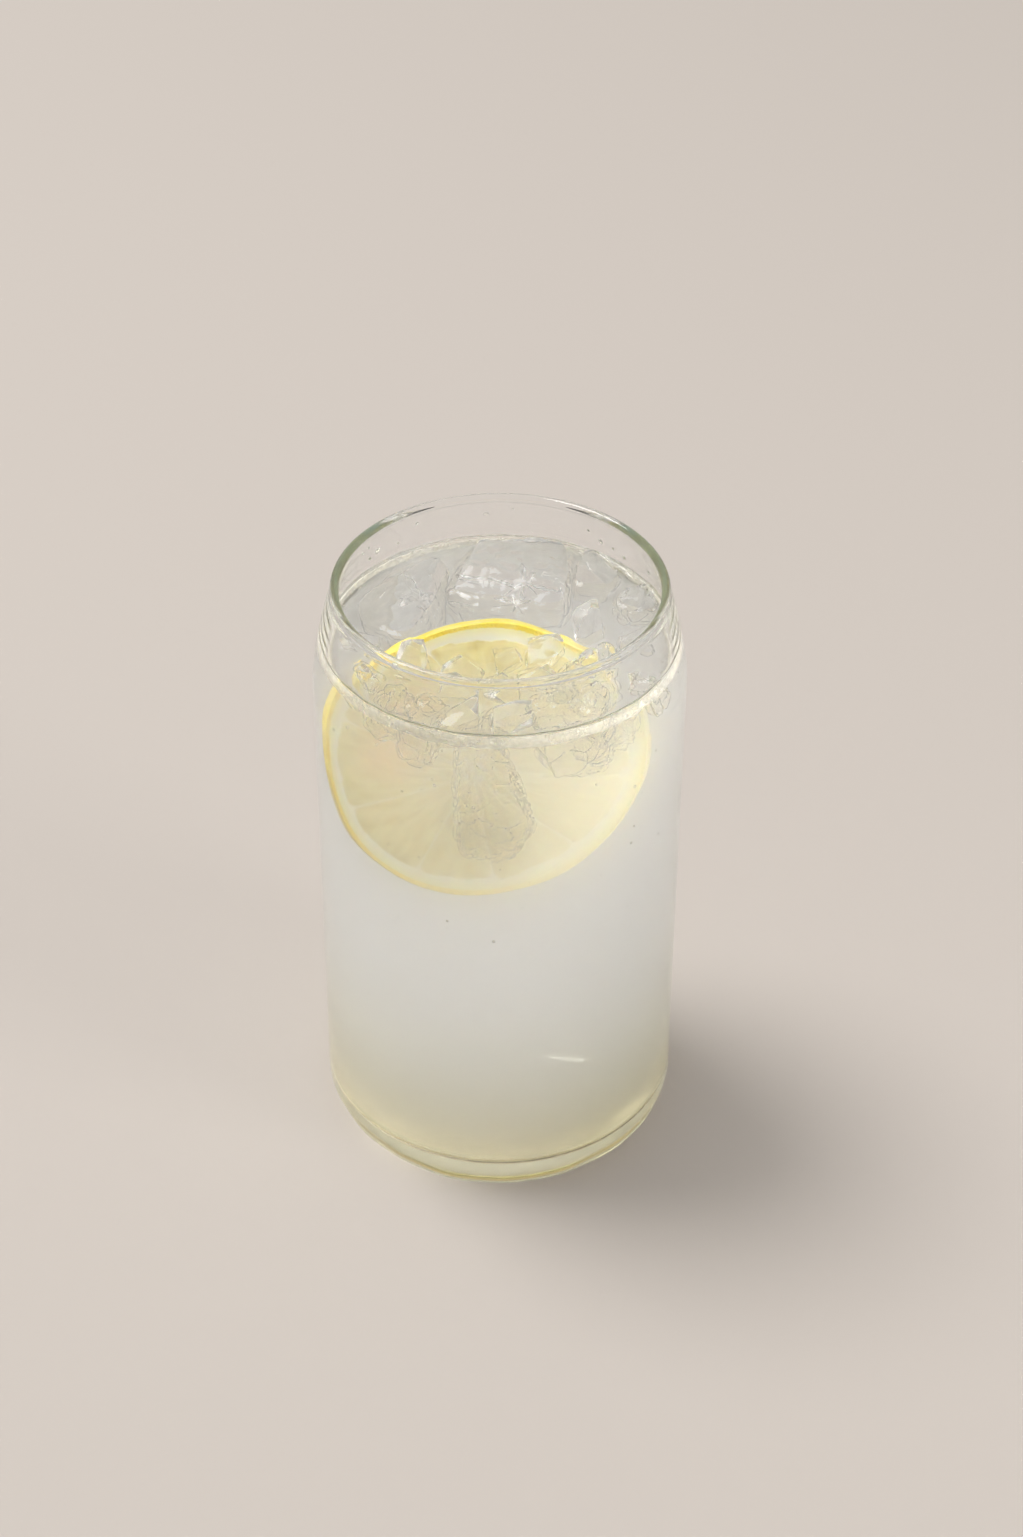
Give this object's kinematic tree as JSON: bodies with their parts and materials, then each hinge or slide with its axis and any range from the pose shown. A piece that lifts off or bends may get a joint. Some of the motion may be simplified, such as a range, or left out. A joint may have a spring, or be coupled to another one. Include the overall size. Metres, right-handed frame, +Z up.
{
  "type": "glass of lemonade",
  "caption": "Can-shaped clear glass filled with cloudy lemonade, with a lemon slice standing in it and ice floating at the top.",
  "frame": {"origin": "centre of the foot, in the plane of the table", "axes": "+Z up through the rim, +X to the right and -Y towards the picture's camera"},
  "size_m": [0.076, 0.076, 0.1335],
  "materials": {
    "clear_glass": "clear, polished, slightly green at the edges",
    "lemonade": "cloudy pale yellow liquid",
    "lemon": "wet fruit: yellow peel, white pith, pale flesh",
    "ice": "clear wet ice with fine cracks"
  },
  "bodies": {
    "root": {"glass": "clear_glass", "lemonade": "lemonade", "lemon_slice": "lemon", "ice_back": "ice", "ice_left_back": "ice", "ice_right_back": "ice", "ice_right": "ice", "ice_front_right": "ice", "ice_right_small": "ice", "ice_front_wide": "ice", "ice_front_centre": "ice", "ice_front_left": "ice", "ice_left_front": "ice", "ice_far_left": "ice"}
  },
  "joints": []
}
